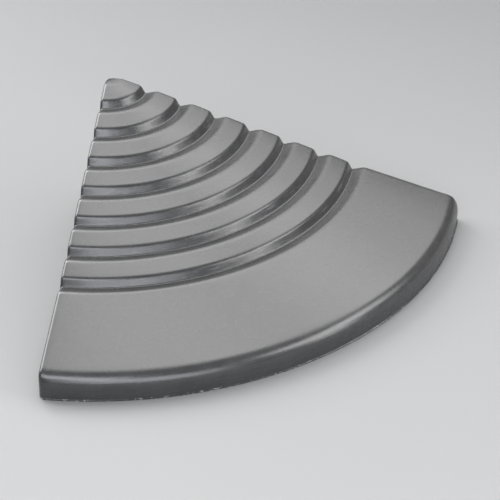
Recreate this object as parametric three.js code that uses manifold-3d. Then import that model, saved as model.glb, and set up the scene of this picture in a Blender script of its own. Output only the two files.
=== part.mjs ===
// Corner element of a modular rubber kerb ramp: a quarter of a ringed cone, for the place where two
// straight ramp runs meet at a right angle. Millimetres, +Z up. The origin is at the middle of the
// footprint's square, on the ground; the high corner is at -X +Y and the curved toe faces +X -Y.
import * as THREE from "three";
import { mergeVertices } from "three/addons/utils/BufferGeometryUtils.js";
import Module from "manifold-3d";

const wasm = await Module();
wasm.setup();

// ---- driving dimensions ----
const OUTER_RADIUS = 400; // centre of the rings to the curved toe wall
const TOTAL_HEIGHT = 152;
const HALF = OUTER_RADIUS / 2;

const RING_PITCH = 39;
const FIRST_GROOVE_RADIUS = 44;
const GROOVE_COUNT = 7;
const RAMP_SLOPE = 0.339; // fall of the groove line per unit of radius
const FIRST_GROOVE_HEIGHT = 135.5;

const CREST_OFFSET = 13.5; // groove to crest corner, outwards
const CREST_RISE = 3.8;
const SHOULDER_OFFSET = 4.9; // shoulder corner to the next groove, inwards
const SHOULDER_RISE = 9.4;
const CREST_FILLET = 12;
const SHOULDER_FILLET = 7;
const GROOVE_FILLET = 1.6;

const CAP_CREST_RADIUS = 18; // the middle cap is level out to here
const CAP_SHOULDER_HEIGHT = 144.8;
const CAP_FILLET = 14;

const TOE_CORNER_HEIGHT = 28; // where the top's line and the toe wall would meet
const TOE_FILLET = 17;

const TIP_RADIUS = 8; // upright edge between the two joint faces
const TOE_CORNER_RADIUS = 8; // upright edges between the joint faces and the toe wall

const SLEEVE_RADIUS = 11; // moulded-in sleeves that take the joining dowels
const DOWEL_RADIUS = 8;
const SLEEVE_DEPTH = 40;
const SLEEVE_FLOOR = 3;
const SLEEVE_HEIGHT = 26;
const SLEEVE_PLACES = { inner: 120, outer: 300 }; // distance from the high corner along a joint face
const FIT_GAP = 0.3;
const SOCKET_OVERRUN = 5; // the body's sockets are cut from this far outside the joint face

const LATHE_SEGMENTS = 128; // round the full circle
const SLEEVE_SEGMENTS = 48;
const PLAN_ARC_SEGMENTS = 8;
const PLAN_CLEARANCE = 10; // how far the plan stands outside the toe wall
const PRISM_MARGIN = 20;
const ARC_STEP = THREE.MathUtils.degToRad(15);

// ---- outlines ----
const point = (x, y) => new THREE.Vector2(x, y);

// Rounds the corners of a polyline: each corner is { at, radius }, and a radius of 0 stays sharp.
function rounded(corners) {
  const out = [];
  corners.forEach(({ at, radius }, i) => {
    if (!radius) {
      out.push(at.clone());
      return;
    }
    const previous = corners[i - 1].at;
    const next = corners[i + 1].at;
    const back = previous.clone().sub(at).normalize();
    const ahead = next.clone().sub(at).normalize();
    const half = Math.acos(THREE.MathUtils.clamp(back.dot(ahead), -1, 1)) / 2;
    const centre = back.clone().add(ahead).normalize().multiplyScalar(radius / Math.sin(half)).add(at);
    const start = back.multiplyScalar(radius / Math.tan(half)).add(at).sub(centre);
    const sweep = (Math.PI - 2 * half) * Math.sign(-start.cross(ahead) || 1) * -1;
    const steps = Math.max(1, Math.ceil(Math.abs(sweep) / ARC_STEP));
    for (let k = 0; k <= steps; k++) {
      out.push(start.clone().rotateAround(point(0, 0), (sweep * k) / steps).add(centre));
    }
  });
  return out;
}

const grooveRadius = (i) => FIRST_GROOVE_RADIUS + RING_PITCH * i;
const grooveHeight = (i) => FIRST_GROOVE_HEIGHT - RAMP_SLOPE * RING_PITCH * i;

// Half-section of the full ringed cone, from the axis at the ground round to the axis at the top.
function rampSection() {
  const corners = [
    { at: point(0, 0) },
    { at: point(OUTER_RADIUS, 0) },
    { at: point(OUTER_RADIUS, TOE_CORNER_HEIGHT), radius: TOE_FILLET },
  ];
  for (let i = GROOVE_COUNT - 1; i >= 0; i--) {
    const radius = grooveRadius(i);
    const height = grooveHeight(i);
    corners.push({ at: point(radius + CREST_OFFSET, height + CREST_RISE), radius: CREST_FILLET });
    corners.push({ at: point(radius, height), radius: GROOVE_FILLET });
    const shoulder = i ? height + SHOULDER_RISE : CAP_SHOULDER_HEIGHT;
    corners.push({ at: point(radius - SHOULDER_OFFSET, shoulder), radius: SHOULDER_FILLET });
  }
  corners.push({ at: point(CAP_CREST_RADIUS, TOTAL_HEIGHT), radius: CAP_FILLET });
  corners.push({ at: point(0, TOTAL_HEIGHT) });
  return rounded(corners);
}

// Plan of the corner element: two joint faces at a right angle, a round tip and two round toe
// corners, each tangent to its joint face and to the toe wall. Outside them it clears the cone.
function plan() {
  const clear = OUTER_RADIUS + PLAN_CLEARANCE;
  const reach = OUTER_RADIUS - TOE_CORNER_RADIUS;
  const along = Math.sqrt(reach ** 2 - TOE_CORNER_RADIUS ** 2);
  const tangent = Math.atan2(TOE_CORNER_RADIUS, along);
  const shape = new THREE.Shape();
  shape.moveTo(0, -TIP_RADIUS);
  shape.lineTo(0, -along);
  shape.absarc(TOE_CORNER_RADIUS, -along, TOE_CORNER_RADIUS, Math.PI, 1.5 * Math.PI + tangent);
  shape.absarc(0, 0, clear, 1.5 * Math.PI + tangent, 2 * Math.PI - tangent);
  shape.absarc(along, -TOE_CORNER_RADIUS, TOE_CORNER_RADIUS, -tangent, 0.5 * Math.PI);
  shape.lineTo(TIP_RADIUS, 0);
  shape.absarc(TIP_RADIUS, -TIP_RADIUS, TIP_RADIUS, 0.5 * Math.PI, Math.PI);
  return shape;
}

// ---- solids ----
function solid(geometry) {
  const bare = geometry.clone();
  bare.deleteAttribute("normal");
  bare.deleteAttribute("uv");
  const merged = mergeVertices(bare, 1e-4);
  return new wasm.Manifold(
    new wasm.Mesh({
      numProp: 3,
      vertProperties: merged.attributes.position.array,
      triVerts: new Uint32Array(merged.index.array),
    }),
  );
}

function geometryOf(manifold) {
  const mesh = manifold.getMesh();
  const geometry = new THREE.BufferGeometry();
  geometry.setAttribute("position", new THREE.BufferAttribute(mesh.vertProperties, 3));
  geometry.setIndex(new THREE.BufferAttribute(mesh.triVerts, 1));
  geometry.computeVertexNormals();
  return geometry;
}

// A section of (radius, height) points turned about +Z.
const turned = (section, segments) => new THREE.LatheGeometry(section, segments).rotateX(Math.PI / 2);

// Where each sleeve sits: its mouth's centre in the ring frame and the turn that faces it inwards.
const sleevePlaces = Object.entries(SLEEVE_PLACES).flatMap(([place, distance]) => [
  { name: "dowel_sleeve_left_" + place, mouth: [0, -distance, SLEEVE_HEIGHT], turn: Math.PI / 2 },
  { name: "dowel_sleeve_back_" + place, mouth: [distance, 0, SLEEVE_HEIGHT], turn: 0 },
]);

// A round piece with its mouth at the origin that reaches back along -Y.
const inwards = (section) => new THREE.LatheGeometry(section, SLEEVE_SEGMENTS).rotateX(Math.PI);

function sleeve() {
  const section = [
    point(0, SLEEVE_DEPTH - SLEEVE_FLOOR),
    point(DOWEL_RADIUS, SLEEVE_DEPTH - SLEEVE_FLOOR),
    point(DOWEL_RADIUS, 0),
    point(SLEEVE_RADIUS, 0),
    point(SLEEVE_RADIUS, SLEEVE_DEPTH),
    point(0, SLEEVE_DEPTH),
  ];
  return inwards(section);
}

// The body's hole for a sleeve, run out past the joint face.
function socket() {
  const radius = SLEEVE_RADIUS + FIT_GAP;
  const depth = SLEEVE_DEPTH + FIT_GAP;
  const section = [
    point(0, -SOCKET_OVERRUN),
    point(radius, -SOCKET_OVERRUN),
    point(radius, depth),
    point(0, depth),
  ];
  return inwards(section);
}

function body() {
  const cone = solid(turned(rampSection(), LATHE_SEGMENTS));
  const prism = new THREE.ExtrudeGeometry(plan(), {
    depth: TOTAL_HEIGHT + 2 * PRISM_MARGIN,
    bevelEnabled: false,
    curveSegments: PLAN_ARC_SEGMENTS,
  });
  let made = cone.intersect(solid(prism.translate(0, 0, -PRISM_MARGIN)));
  for (const { mouth, turn } of sleevePlaces) {
    made = made.subtract(solid(socket().rotateZ(turn).translate(...mouth)));
  }
  return geometryOf(made);
}

// ---- materials ----
const rubber = () => new THREE.MeshStandardMaterial({ color: 0x3b3c3d, roughness: 0.55, metalness: 0 });
const plastic = () => new THREE.MeshStandardMaterial({ color: 0x202224, roughness: 0.45, metalness: 0 });

// ---- scene graph: everything is drawn about the rings' centre, at the high corner ----
const element = new THREE.Group();
element.position.set(-HALF, HALF, 0);

function addPiece(name, geometry, material, place = [0, 0, 0], turn = 0) {
  const piece = new THREE.Mesh(geometry, material);
  piece.name = name;
  piece.position.set(...place);
  piece.rotation.z = turn;
  element.add(piece);
}

addPiece("ramp_body", body(), rubber());
for (const { name, mouth, turn } of sleevePlaces) {
  addPiece(name, sleeve(), plastic(), mouth, turn);
}

const part = new THREE.Group();
part.add(element);

export default part;
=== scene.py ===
"""Looks for the rubber kerb ramp corner element: a fine ringed body, plastic dowel sleeves, a plain
pale floor, soft studio light and the camera. Metres, in the row frame."""

import math

import bmesh
import bpy
from mathutils import Matrix, Vector, noise


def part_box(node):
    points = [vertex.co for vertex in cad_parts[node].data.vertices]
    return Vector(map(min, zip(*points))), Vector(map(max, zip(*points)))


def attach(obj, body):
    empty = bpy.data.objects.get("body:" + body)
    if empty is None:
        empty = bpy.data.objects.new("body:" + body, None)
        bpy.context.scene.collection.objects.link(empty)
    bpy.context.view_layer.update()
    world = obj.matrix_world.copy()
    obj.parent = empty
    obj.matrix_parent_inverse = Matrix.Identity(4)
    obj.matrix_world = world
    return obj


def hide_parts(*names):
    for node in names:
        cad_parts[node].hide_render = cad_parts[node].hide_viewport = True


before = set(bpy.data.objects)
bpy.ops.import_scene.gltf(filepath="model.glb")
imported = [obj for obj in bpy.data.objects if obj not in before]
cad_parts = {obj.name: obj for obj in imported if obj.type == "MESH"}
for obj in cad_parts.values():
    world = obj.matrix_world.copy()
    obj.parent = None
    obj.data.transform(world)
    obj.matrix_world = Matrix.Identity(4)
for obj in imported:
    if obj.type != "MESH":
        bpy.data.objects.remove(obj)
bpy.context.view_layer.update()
MM = 0.001

# ---- the body's driving sizes ----
LOW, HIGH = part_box("ramp_body")
CENTRE = Vector((LOW.x, HIGH.y, 0))  # centre of the rings, at the high corner
OUTER_RADIUS = min(HIGH.x - LOW.x, HIGH.y - LOW.y)
TOP = HIGH.z

RING_PITCH = 39 * MM
FIRST_GROOVE_RADIUS = 44 * MM
GROOVE_COUNT = 7
RAMP_SLOPE = 0.339
FIRST_GROOVE_HEIGHT = 135.5 * MM

CREST_OFFSET = 13.5 * MM
CREST_RISE = 3.8 * MM
SHOULDER_OFFSET = 4.9 * MM
SHOULDER_RISE = 9.4 * MM
CREST_FILLET = 12 * MM
SHOULDER_FILLET = 7 * MM
GROOVE_FILLET = 1.6 * MM

CAP_CREST_RADIUS = 18 * MM
CAP_SHOULDER_HEIGHT = 144.8 * MM
CAP_FILLET = 14 * MM

TOE_CORNER_HEIGHT = 28 * MM
TOE_FILLET = 17 * MM

TIP_RADIUS = 8 * MM
TOE_CORNER_RADIUS = 8 * MM
EDGE_RADIUS = 3.5 * MM  # top edges along the joint faces
EDGE_WANDER = 0.15  # share of its radius by which that rounding is uneven
EDGE_WANDER_SIZE = 25 * MM

LIP_HEIGHT = 1.9 * MM  # mould flash round the foot of the toe wall
LIP_DEPTH = 0.6 * MM
LIP_STEP = 0.5 * MM
LIP_CLEAR = 2 * LIP_HEIGHT  # the wall is plain from its rounding down to here
LIP_SHOULDER = (0.7, 0.4)  # the lip's upper corner, as shares of its depth and its step

SOCKET_GAP = 0.3 * MM
BORE_RADIUS = 8 * MM
SLEEVE_FLOOR = 3 * MM
SLEEVE_LIP = 0.8 * MM  # rounding at the mouth and at the foot of the bore
SOCKET_OVERRUN = 5 * MM  # how far outside the joint face a socket's cutter starts

# ---- mesh fineness ----
ARC_STEP = math.radians(6)
LINE_STEP = 5 * MM
EDGE_STEPS = 7
EDGE_ZONE_LIMIT = 0.25  # the most of the azimuth range that the steps at one edge take up
MIDDLE_COLUMNS = 120
WALL_STEPS = 4
SLEEVE_COLUMNS = 96
SOCKET_COLUMNS = 64
CREASE_ANGLE = 40  # degrees; edges sharper than this stay crisp
SNAP = 0.001 * MM  # closer than this is the same place

# ---- colours and marks of the rubber ----
RUBBER_DARK = (0.029, 0.029, 0.030)
RUBBER_PALE = (0.037, 0.037, 0.037)
BLOOM_AND_PAINTED_HIGHLIGHT = (0.12, 0.12, 0.13)  # waxy bloom and painted streaky highlight, rubbed along the rings
SCUFF = (0.30, 0.30, 0.31)  # fresh nicks at the foot of the toe wall
RUBBER_IOR = 1.52

# noises: scale per metre, detail and roughness
NOISE_MIDDLE = 0.5
MOTTLING = (45, 4, 0.6)
STREAKS = (700, 3, 0.6)
# streaks and patches of the bloom, which also carry its painted streaky highlight
BLOOM_AND_HIGHLIGHT_STREAKS = (420, 4, 0.7)
BLOOM_AND_HIGHLIGHT_PATCHES = (60, 3, 0.6)
NICKS = (260, 3, 0.7)
WAVES = (28, 2, 0.5)
PITS = (160, 4, 0.6)
GRAIN = (1500, 2, 0.5)

# ranges: from none to full
MOTTLING_RANGE = (0.2, 0.8)
BLOOM_AND_HIGHLIGHT_STREAK_RANGE = (0.54, 0.70)
BLOOM_AND_HIGHLIGHT_PATCH_RANGE = (0.40, 0.62)
NICK_RANGE = (0.57, 0.66)
STEEP = (0.80, 0.55)  # upward part of the surface normal
OFF_THE_WALL = (22 * MM, 32 * MM)  # height
AT_THE_FOOT = (3.0 * MM, 1.6 * MM)  # height

# amounts: on the flat faces and on the steep ones
BLOOM_AND_HIGHLIGHT_AMOUNT = (0.06, 0.8)
DRAG_AMOUNT = (0.02, 1)
WALL_BLOOM_AND_HIGHLIGHT = 0.1  # what is left of the bloom and its painted highlight on the toe wall
SKIN_ROUGHNESS = (0.2, 0.8, 0.23, 0.31)  # range of the marks, and the roughness it gives

# bumps: depth and strength
WAVE_BUMP = (0.5 * MM, 0.35)
PIT_BUMP = (0.10 * MM, 0.5)
DRAG_BUMP = (0.07 * MM, 0.6)
GRAIN_BUMP = (0.03 * MM, 0.5)
STREAK_SQUEEZE = 0.02  # azimuth is stretched out, so that streaks run long round the rings

# ---- the sleeves' plastic ----
PLASTIC_DARK = (0.012, 0.012, 0.014)
PLASTIC_PALE = (0.022, 0.022, 0.025)
PLASTIC_MOTTLING = (120, 3, 0.5)
PLASTIC_ROUGHNESS = (0.3, 0.7, 0.35, 0.5)
PLASTIC_GRAIN = (2500, 2, 0.5)
PLASTIC_BUMP = (0.03 * MM, 0.6)

# ---- the studio ----
FLOOR_SIZE = 12
FLOOR_CELLS = 4
# painted light falloff: the floor's colour goes darker towards the back, where the light falls off
FLOOR_NEAR_LIT = (0.223, 0.223, 0.223)
FLOOR_FAR_SHADED = (0.141, 0.142, 0.145)
FLOOR_PAINTED_FALLOFF = (-0.35, 0.70)  # metres along Y, over which the painted light falloff goes from the near tone to the far one
FLOOR_TONE = (2, 2, 0.5)
FLOOR_UNEVEN = 0.06
FLOOR_ROUGHNESS = 0.8
COOL = (0.92, 0.95, 1.0)
WHITE = (1, 1, 1)
WORLD_STRENGTH = 0.08

CAMERA_AZIMUTH = 97.933  # degrees, of the direction it looks in
CAMERA_ELEVATION = -33.677
CAMERA_ROLL = 0.055
CAMERA_PLACE = (0.2902, -2.1565, 1.5197)
CAMERA_LENS = 177.77  # millimetres, as is the sensor's width
CAMERA_SENSOR = 36


def rounded(corners):
    """A polyline through (radius, height, fillet) corners, with each fillet as an arc."""
    points = []
    for i, (x, y, fillet) in enumerate(corners):
        at = Vector((x, y))
        if i in (0, len(corners) - 1) or fillet == 0:
            points.append(at)
            continue
        back = (Vector(corners[i - 1][:2]) - at).normalized()
        ahead = (Vector(corners[i + 1][:2]) - at).normalized()
        half = back.angle(ahead) / 2
        centre = at + (back + ahead).normalized() * fillet / math.sin(half)
        start = at + back * fillet / math.tan(half) - centre
        end = at + ahead * fillet / math.tan(half) - centre
        sweep = math.atan2(start.cross(end), start.dot(end))
        steps = max(2, math.ceil(abs(sweep) / ARC_STEP))
        for k in range(steps + 1):
            points.append(centre + Matrix.Rotation(sweep * k / steps, 2) @ start)
    return points


def divided(points):
    """The polyline with its long stretches cut into steps of LINE_STEP."""
    out = [points[0]]
    for a, b in zip(points, points[1:]):
        count = max(1, math.ceil((b - a).length / LINE_STEP))
        out += [a.lerp(b, k / count) for k in range(1, count + 1)]
    return out


def top_section():
    """The top's half-section as (radius, height), from the tip outwards to the toe wall."""
    wall = OUTER_RADIUS - LIP_DEPTH
    corners = [(0, TOP, 0), (CAP_CREST_RADIUS, TOP, CAP_FILLET)]
    for i in range(GROOVE_COUNT):
        radius = FIRST_GROOVE_RADIUS + RING_PITCH * i
        height = FIRST_GROOVE_HEIGHT - RAMP_SLOPE * RING_PITCH * i
        shoulder = height + SHOULDER_RISE if i else CAP_SHOULDER_HEIGHT
        corners += [
            (radius - SHOULDER_OFFSET, shoulder, SHOULDER_FILLET),
            (radius, height, GROOVE_FILLET),
            (radius + CREST_OFFSET, height + CREST_RISE, CREST_FILLET),
        ]
    corners += [(wall, TOE_CORNER_HEIGHT, TOE_FILLET), (wall, TOE_CORNER_HEIGHT - TOE_FILLET, 0)]
    return divided(rounded(corners))


def wall_section():
    """The toe wall below its rounding, down to the ground, with the flash lip: (radius, height)."""
    wall = OUTER_RADIUS - LIP_DEPTH
    start = TOE_CORNER_HEIGHT - TOE_FILLET
    fall = LIP_CLEAR - start
    points = [Vector((wall, start + fall * k / WALL_STEPS)) for k in range(1, WALL_STEPS + 1)]
    out, up = LIP_SHOULDER
    points += [
        Vector((wall, LIP_HEIGHT + LIP_STEP)),
        Vector((wall + LIP_DEPTH * out, LIP_HEIGHT + LIP_STEP * up)),
        Vector((OUTER_RADIUS, LIP_HEIGHT)),
        Vector((OUTER_RADIUS, LIP_HEIGHT - LIP_STEP)),
        Vector((wall, LIP_HEIGHT - 2 * LIP_STEP)),
        Vector((wall, 0)),
    ]
    return points


def squircle(a, b, radius):
    """Moves a point of a sharp corner's square, a and b inside its two sides, into a round corner."""
    if a >= radius or b >= radius:
        return a, b
    p = 1 - a / radius
    q = 1 - b / radius
    return (
        radius * (1 - p * math.sqrt(1 - q * q / 2)),
        radius * (1 - q * math.sqrt(1 - p * p / 2)),
    )


def column_angles(radius):
    """Azimuths, measured from the left joint face, with steps that follow the edge's rounding."""
    quarter = math.pi / 2
    zone = min(EDGE_RADIUS / radius, quarter * EDGE_ZONE_LIMIT) if radius else 0
    edge = [zone * (1 - math.cos(k / EDGE_STEPS * quarter)) for k in range(EDGE_STEPS)]
    middle = [zone + (quarter - 2 * zone) * k / MIDDLE_COLUMNS for k in range(MIDDLE_COLUMNS + 1)]
    return edge + middle + [quarter - a for a in reversed(edge)]


def edge_drop(inside, radius):
    """How far a rounded edge lies below the flat top, at a distance inside the edge."""
    if inside >= radius:
        return 0
    return radius - math.sqrt(max(0, radius**2 - (radius - inside) ** 2))


def surface_point(radius, height, angle, is_wall):
    """The finished place of a section point turned to an azimuth, in the row frame."""
    left = radius * math.sin(angle)  # distance inside the left joint face
    back = radius * math.cos(angle)  # distance inside the back joint face
    near = min(left, back)
    toe = OUTER_RADIUS - radius  # distance inside the toe wall
    tip_left, tip_back = squircle(left, back, TIP_RADIUS)
    inside = min(tip_left, tip_back)
    if max(tip_left, tip_back) < TIP_RADIUS:
        inside = TIP_RADIUS - math.hypot(TIP_RADIUS - tip_left, TIP_RADIUS - tip_back)
    wander = noise.noise(Vector((left, back, 0)) / EDGE_WANDER_SIZE)
    drop = edge_drop(inside, EDGE_RADIUS * (1 + EDGE_WANDER * wander))
    wall_top = TOE_CORNER_HEIGHT - TOE_FILLET
    if is_wall:
        height *= (wall_top - drop) / wall_top if height > LIP_CLEAR else 1
    else:
        height -= drop
    from_left, from_back = tip_left, tip_back
    across, toe_round = squircle(near, toe, TOE_CORNER_RADIUS)
    if (across, toe_round) != (near, toe):
        reach = OUTER_RADIUS - toe_round
        along = math.sqrt(reach**2 - across**2)
        from_left, from_back = (across, along) if left < back else (along, across)
    return Vector((CENTRE.x + from_left, CENTRE.y - from_back, height))


def joint_face(bm, edge, tip_foot, inner, lip):
    """One joint face under its edge column, straight down to the ground; returns its foot line.

    The column's first points, as many as inner says, lie inside the toe wall and get a foot each.
    The rest stand upright over the toe corner, and lip lists those that jut out as the flash.
    """
    slope = edge[:inner]
    upright = edge[inner:]
    feet = [tip_foot] + [bm.verts.new((v.co.x, v.co.y, 0)) for v in slope[1:]]
    for k in range(inner - 1):
        bm.faces.new([slope[k], slope[k + 1], feet[k + 1], feet[k]])
    flush = upright[: lip[0]] + upright[lip[-1] + 1 :]
    bm.faces.new([slope[-1], flush[0], feet[-1]])
    for upper, lower in zip(flush, flush[1:]):
        bm.faces.new([upper, lower, feet[-1]])
    bm.faces.new(upright[lip[0] - 1 : lip[-1] + 2])  # the lip's own side
    return feet + [upright[-1]]


def body_mesh():
    """The closed surface: ringed top, toe wall, joint faces and underside."""
    top = top_section()
    section = top + wall_section()
    bm = bmesh.new()
    grid = []
    for k, (radius, height) in enumerate(section):
        angles = column_angles(radius)
        if radius == 0:
            tip = bm.verts.new(surface_point(radius, height, 0, False))
            grid.append([tip] * len(angles))
        else:
            is_wall = k >= len(top)
            grid.append([bm.verts.new(surface_point(radius, height, a, is_wall)) for a in angles])
    for upper, lower in zip(grid, grid[1:]):
        for j in range(len(upper) - 1):
            corners = [upper[j], lower[j], lower[j + 1], upper[j + 1]]
            bm.faces.new(list(dict.fromkeys(corners)))
    tip_foot = bm.verts.new((tip.co.x, tip.co.y, 0))
    wall_radius = OUTER_RADIUS - LIP_DEPTH
    inner = sum(radius < wall_radius - SNAP for radius, _ in top)
    lip = [k for k, (radius, _) in enumerate(section[inner:]) if radius > wall_radius + SNAP]
    outlines = []
    for side in (0, -1):
        edge = [row[side] for row in grid]
        outlines.append(joint_face(bm, edge, tip_foot, inner, lip))
    bm.faces.new(outlines[0] + grid[-1][1:-1] + outlines[1][:0:-1])
    bmesh.ops.recalc_face_normals(bm, faces=bm.faces)
    return bm


def linked(name, bm):
    """A new object from a bmesh, in the scene."""
    mesh = bpy.data.meshes.new(name)
    bm.to_mesh(mesh)
    bm.free()
    piece = bpy.data.objects.new(name, mesh)
    bpy.context.scene.collection.objects.link(piece)
    return piece


def cut(piece, cutters):
    """Takes the cutters out of the piece for good."""
    for cutter in cutters:
        modifier = piece.modifiers.new("cut", "BOOLEAN")
        modifier.operation = "DIFFERENCE"
        modifier.solver = "EXACT"
        modifier.object = cutter
    graph = bpy.context.evaluated_depsgraph_get()
    finished = bpy.data.meshes.new_from_object(piece.evaluated_get(graph))
    piece.modifiers.clear()
    piece.data = finished
    for cutter in cutters:
        bpy.data.objects.remove(cutter)


def sleeve_frame(node):
    """Mouth centre, outward direction, outer radius and depth of a CAD sleeve."""
    low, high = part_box(node)
    middle = (low + high) / 2
    radius = (high.z - low.z) / 2
    if "left" in node:
        mouth = Vector((low.x, middle.y, middle.z))
        return mouth, Vector((-1, 0, 0)), radius, high.x - low.x
    mouth = Vector((middle.x, high.y, middle.z))
    return mouth, Vector((0, 1, 0)), radius, high.y - low.y


def socket_cutter(node):
    """A cylinder that opens the body's socket for a sleeve."""
    mouth, outward, radius, depth = sleeve_frame(node)
    length = depth + SOCKET_GAP + SOCKET_OVERRUN
    bm = bmesh.new()
    bmesh.ops.create_cone(
        bm,
        cap_ends=True,
        segments=SOCKET_COLUMNS,
        radius1=radius + SOCKET_GAP,
        radius2=radius + SOCKET_GAP,
        depth=length,
    )
    turn = Vector((0, 0, 1)).rotation_difference(outward).to_matrix().to_4x4()
    bmesh.ops.transform(bm, matrix=turn, verts=bm.verts)
    shift = mouth + outward * (SOCKET_OVERRUN - length / 2)
    bmesh.ops.translate(bm, vec=shift, verts=bm.verts)
    return linked("cutter", bm)


def sleeve_mesh(node):
    """A blind sleeve turned round its bore: rounded mouth, straight bore, closed floor."""
    mouth, outward, radius, depth = sleeve_frame(node)
    bore_end = SLEEVE_FLOOR - depth
    section = [
        (0, bore_end, 0),
        (BORE_RADIUS, bore_end, SLEEVE_LIP),
        (BORE_RADIUS, 0, SLEEVE_LIP),
        (radius, 0, SLEEVE_LIP),
        (radius, -depth, SLEEVE_LIP),
        (0, -depth, 0),
    ]
    side = outward.orthogonal().normalized()
    bm = bmesh.new()
    rings = []
    for reach, along in rounded(section):
        centre = mouth + outward * along
        count = 1 if reach == 0 else SLEEVE_COLUMNS
        turns = [Matrix.Rotation(2 * math.pi * k / count, 3, outward) for k in range(count)]
        rings.append([bm.verts.new(centre + turn @ side * reach) for turn in turns])
    for upper, lower in zip(rings, rings[1:]):
        for k in range(SLEEVE_COLUMNS):
            following = (k + 1) % SLEEVE_COLUMNS
            corners = [
                upper[k % len(upper)],
                lower[k % len(lower)],
                lower[following % len(lower)],
                upper[following % len(upper)],
            ]
            bm.faces.new(list(dict.fromkeys(corners)))
    bmesh.ops.recalc_face_normals(bm, faces=bm.faces)
    return bm


def smooth(piece):
    """Smooth shading, kept crisp at edges sharper than the crease angle."""
    piece.data.polygons.foreach_set("use_smooth", [True] * len(piece.data.polygons))
    piece.data.set_sharp_from_angle(angle=math.radians(CREASE_ANGLE))


# ---- materials ----
class Nodes:
    """Short calls for building one material's nodes."""

    def __init__(self, name):
        self.material = bpy.data.materials.new(name)
        self.material.use_nodes = True
        self.tree = self.material.node_tree
        self.tree.nodes.clear()
        self.shader = self.add("ShaderNodeBsdfPrincipled")
        output = self.add("ShaderNodeOutputMaterial")
        self.link(self.shader.outputs[0], output.inputs["Surface"])

    def add(self, kind, **settings):
        """A new node with these settings."""
        node = self.tree.nodes.new(kind)
        for key, value in settings.items():
            setattr(node, key, value)
        return node

    def link(self, source, target):
        """Joins an output to an input."""
        self.tree.links.new(source, target)

    def math(self, operation, a, b=None):
        """The result of one Math node; a and b are numbers or outputs."""
        node = self.add("ShaderNodeMath", operation=operation)
        for socket, value in zip(node.inputs, (a, b)):
            if value is None:
                continue
            if isinstance(value, (int, float)):
                socket.default_value = value
            else:
                self.link(value, socket)
        return node.outputs[0]

    def place(self, origin=(0, 0, 0)):
        """Position in the row frame, from an origin."""
        shift = self.add("ShaderNodeVectorMath", operation="SUBTRACT")
        self.link(self.add("ShaderNodeTexCoord").outputs["Object"], shift.inputs[0])
        shift.inputs[1].default_value = origin
        return shift.outputs[0]

    def noise(self, vector, scale, detail, roughness):
        """Noise along a vector, from 0 to 1."""
        node = self.add("ShaderNodeTexNoise")
        node.inputs["Scale"].default_value = scale
        node.inputs["Detail"].default_value = detail
        node.inputs["Roughness"].default_value = roughness
        self.link(vector, node.inputs["Vector"])
        return node.outputs["Fac"]

    def between(self, value, low, high, to_low=0.0, to_high=1.0):
        """The value's place between low and high, clamped and mapped to the other two."""
        node = self.add("ShaderNodeMapRange")
        for socket, number in zip(node.inputs[1:5], (low, high, to_low, to_high)):
            socket.default_value = number
        self.link(value, node.inputs[0])
        return node.outputs[0]

    def blend(self, factor, first, second):
        """A mix of two colours, each a tuple or an output."""
        node = self.add("ShaderNodeMix", data_type="RGBA")
        self.link(factor, node.inputs["Factor"])
        for socket, value in ((node.inputs[6], first), (node.inputs[7], second)):
            if isinstance(value, tuple):
                socket.default_value = (*value, 1)
            else:
                self.link(value, socket)
        return node.outputs[2]

    def bump(self, height, distance, strength, under=None):
        """A surface normal bumped by a height, on top of the normal under it."""
        node = self.add("ShaderNodeBump")
        node.inputs["Distance"].default_value = distance
        node.inputs["Strength"].default_value = strength
        self.link(height, node.inputs["Height"])
        if under is not None:
            self.link(under, node.inputs["Normal"])
        return node.outputs["Normal"]


def ring_place(nodes):
    """Radius, azimuth and height about the rings' centre: marks along this vector follow the rings."""
    split = nodes.add("ShaderNodeSeparateXYZ")
    nodes.link(nodes.place(tuple(CENTRE)), split.inputs[0])
    x, y, z = split.outputs
    squares = nodes.math("ADD", nodes.math("MULTIPLY", x, x), nodes.math("MULTIPLY", y, y))
    joined = nodes.add("ShaderNodeCombineXYZ")
    nodes.link(nodes.math("SQRT", squares), joined.inputs[0])
    nodes.link(nodes.math("MULTIPLY", nodes.math("ARCTAN2", y, x), STREAK_SQUEEZE), joined.inputs[1])
    nodes.link(z, joined.inputs[2])
    return joined.outputs[0]


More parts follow.
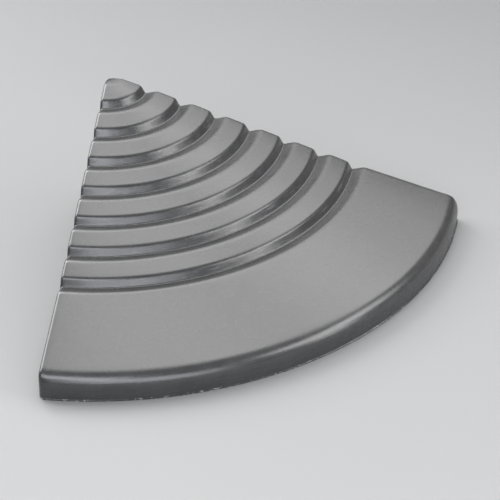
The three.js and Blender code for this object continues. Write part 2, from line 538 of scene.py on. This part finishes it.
def rubber():
    """Moulded black rubber: a satin skin, faint mottling, drag marks, and bloom with a painted streaky
    highlight on the steep faces.
    """
    nodes = Nodes("moulded_rubber")
    place = nodes.place()
    rings = ring_place(nodes)
    mottling = nodes.noise(place, *MOTTLING)
    streaks = nodes.noise(rings, *STREAKS)
    facing = nodes.add("ShaderNodeSeparateXYZ")
    nodes.link(nodes.add("ShaderNodeNewGeometry").outputs["Normal"], facing.inputs[0])
    steep = nodes.between(facing.outputs[2], *STEEP)
    split = nodes.add("ShaderNodeSeparateXYZ")
    nodes.link(place, split.inputs[0])
    height = split.outputs[2]

    colour = nodes.blend(nodes.between(mottling, *MOTTLING_RANGE), RUBBER_DARK, RUBBER_PALE)
    # bloom with painted streaky highlight: a lighter colour in streaks along the rings, strong on the
    # steep ring faces and faint on the flat tops and the toe wall
    bloom_and_highlight = nodes.between(nodes.noise(rings, *BLOOM_AND_HIGHLIGHT_STREAKS), *BLOOM_AND_HIGHLIGHT_STREAK_RANGE)
    patches = nodes.between(nodes.noise(place, *BLOOM_AND_HIGHLIGHT_PATCHES), *BLOOM_AND_HIGHLIGHT_PATCH_RANGE)
    bloom_and_highlight = nodes.math("MULTIPLY", bloom_and_highlight, patches)
    bloom_and_highlight = nodes.math("MULTIPLY", bloom_and_highlight, nodes.between(steep, 0, 1, *BLOOM_AND_HIGHLIGHT_AMOUNT))
    bloom_and_highlight = nodes.math("MULTIPLY", bloom_and_highlight, nodes.between(height, *OFF_THE_WALL, WALL_BLOOM_AND_HIGHLIGHT, 1))
    colour = nodes.blend(bloom_and_highlight, colour, BLOOM_AND_PAINTED_HIGHLIGHT)
    nicks = nodes.between(nodes.noise(place, *NICKS), *NICK_RANGE)
    nicks = nodes.math("MULTIPLY", nodes.between(height, *AT_THE_FOOT), nicks)
    colour = nodes.blend(nicks, colour, SCUFF)
    nodes.link(colour, nodes.shader.inputs["Base Color"])

    marks = nodes.math("MULTIPLY", nodes.math("SUBTRACT", streaks, NOISE_MIDDLE), steep)
    roughness = nodes.between(nodes.math("ADD", marks, mottling), *SKIN_ROUGHNESS)
    nodes.link(roughness, nodes.shader.inputs["Roughness"])

    normal = nodes.bump(nodes.noise(place, *WAVES), *WAVE_BUMP)
    normal = nodes.bump(nodes.noise(place, *PITS), *PIT_BUMP, normal)
    drag = nodes.math("MULTIPLY", streaks, nodes.between(steep, 0, 1, *DRAG_AMOUNT))
    normal = nodes.bump(drag, *DRAG_BUMP, normal)
    normal = nodes.bump(nodes.noise(place, *GRAIN), *GRAIN_BUMP, normal)
    nodes.link(normal, nodes.shader.inputs["Normal"])
    nodes.shader.inputs["IOR"].default_value = RUBBER_IOR
    return nodes.material


def sleeve_plastic():
    """Black moulded plastic of the dowel sleeves."""
    nodes = Nodes("sleeve_plastic")
    place = nodes.place()
    mottling = nodes.noise(place, *PLASTIC_MOTTLING)
    colour = nodes.blend(mottling, PLASTIC_DARK, PLASTIC_PALE)
    nodes.link(colour, nodes.shader.inputs["Base Color"])
    roughness = nodes.between(mottling, *PLASTIC_ROUGHNESS)
    nodes.link(roughness, nodes.shader.inputs["Roughness"])
    normal = nodes.bump(nodes.noise(place, *PLASTIC_GRAIN), *PLASTIC_BUMP)
    nodes.link(normal, nodes.shader.inputs["Normal"])
    return nodes.material


def floor_paint():
    """Pale studio paper with a painted light falloff that makes it a little darker towards the back,
    and a faint uneven tone.
    """
    nodes = Nodes("floor_paint")
    place = nodes.place()
    split = nodes.add("ShaderNodeSeparateXYZ")
    nodes.link(place, split.inputs[0])
    # painted light falloff, darker towards the back
    depth = nodes.between(split.outputs[1], *FLOOR_PAINTED_FALLOFF)
    tone = nodes.noise(place, *FLOOR_TONE)
    uneven = nodes.between(tone, 0, 1, -FLOOR_UNEVEN, FLOOR_UNEVEN)
    shade = nodes.math("ADD", depth, uneven)
    nodes.link(nodes.blend(shade, FLOOR_NEAR_LIT, FLOOR_FAR_SHADED), nodes.shader.inputs["Base Color"])
    nodes.shader.inputs["Roughness"].default_value = FLOOR_ROUGHNESS
    return nodes.material


# ---- the object ----
SLEEVES = [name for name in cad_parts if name.startswith("dowel_sleeve")]

body = linked("rubber_body", body_mesh())
cut(body, [socket_cutter(node) for node in SLEEVES])
smooth(body)
body.data.materials.clear()
body.data.materials.append(rubber())
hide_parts("ramp_body")
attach(body, "root")

plastic = sleeve_plastic()
for name in SLEEVES:
    sleeve = linked(name + "_fine", sleeve_mesh(name))
    smooth(sleeve)
    sleeve.data.materials.append(plastic)
    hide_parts(name)
    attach(sleeve, "root")

# ---- studio ----
def direction(azimuth, elevation):
    """The unit vector at an azimuth and an elevation in degrees."""
    a = math.radians(azimuth)
    e = math.radians(elevation)
    return Vector((math.cos(e) * math.cos(a), math.cos(e) * math.sin(a), math.sin(e)))


def floor():
    """The plain floor under the object."""
    bm = bmesh.new()
    bmesh.ops.create_grid(bm, x_segments=FLOOR_CELLS, y_segments=FLOOR_CELLS, size=FLOOR_SIZE / 2)
    piece = linked("floor", bm)
    piece.data.materials.append(floor_paint())


def softbox(name, azimuth, elevation, distance, width, height, radiance, colour=WHITE):
    """A rectangular light panel that faces the object, seen from it in this direction."""
    light = bpy.data.lights.new(name, "AREA")
    light.shape = "RECTANGLE"
    light.size = width
    light.size_y = height
    light.energy = radiance * math.pi * width * height
    light.color = colour
    lamp = bpy.data.objects.new(name, light)
    away = direction(azimuth, elevation)
    lamp.location = away * distance
    lamp.rotation_euler = away.to_track_quat("Z", "Y").to_euler()
    bpy.context.scene.collection.objects.link(lamp)


def world_light(tone, strength):
    """Even light from all round."""
    world = bpy.data.worlds.new("studio")
    world.use_nodes = True
    background = world.node_tree.nodes["Background"]
    background.inputs["Color"].default_value = (*tone, 1)
    background.inputs["Strength"].default_value = strength
    bpy.context.scene.world = world


def camera():
    """The camera: place, direction, roll and lens."""
    forward = direction(CAMERA_AZIMUTH, CAMERA_ELEVATION)
    right = forward.cross(Vector((0, 0, 1))).normalized()
    up = right.cross(forward)
    roll = math.radians(CAMERA_ROLL)
    tilted_right = right * math.cos(roll) + up * math.sin(roll)
    tilted_up = up * math.cos(roll) - right * math.sin(roll)
    eye = bpy.data.objects.new("camera", bpy.data.cameras.new("camera"))
    eye.data.lens = CAMERA_LENS
    eye.data.sensor_width = CAMERA_SENSOR
    axes = (tilted_right, tilted_up, -forward)
    eye.rotation_euler = Matrix(axes).transposed().to_euler()
    eye.location = CAMERA_PLACE
    bpy.context.scene.collection.objects.link(eye)
    bpy.context.scene.camera = eye


floor()
# azimuth and elevation in degrees, distance, width, height, radiance
softbox("back_low_panel", 90, 46, 2.2, 2.6, 1.3, 3.1)
softbox("back_high_panel", 90, 64, 1.6, 2.4, 1.0, 2.7)
softbox("front_panel", -85, 20, 1.9, 0.9, 0.8, 5.5, COOL)
softbox("front_right_panel", -62, 18, 1.9, 0.75, 0.8, 5.0, COOL)
softbox("front_high_panel", -105, 38, 1.9, 1.2, 0.6, 8.1, COOL)
softbox("right_low_panel", -12, 15, 1.9, 0.5, 0.7, 6.7)
softbox("right_high_panel", -15, 32, 1.9, 1.0, 0.6, 7.7)
softbox("right_strip", 10, 32, 1.9, 0.6, 0.8, 6.4)
softbox("left_back_panel", 150, 35, 2.0, 1.75, 1.25, 9.2)
softbox("top_panel", 92, 82, 1.8, 1.0, 0.9, 3.5)
world_light(WHITE, WORLD_STRENGTH)
camera()

bpy.context.scene.view_settings.view_transform = "Standard"
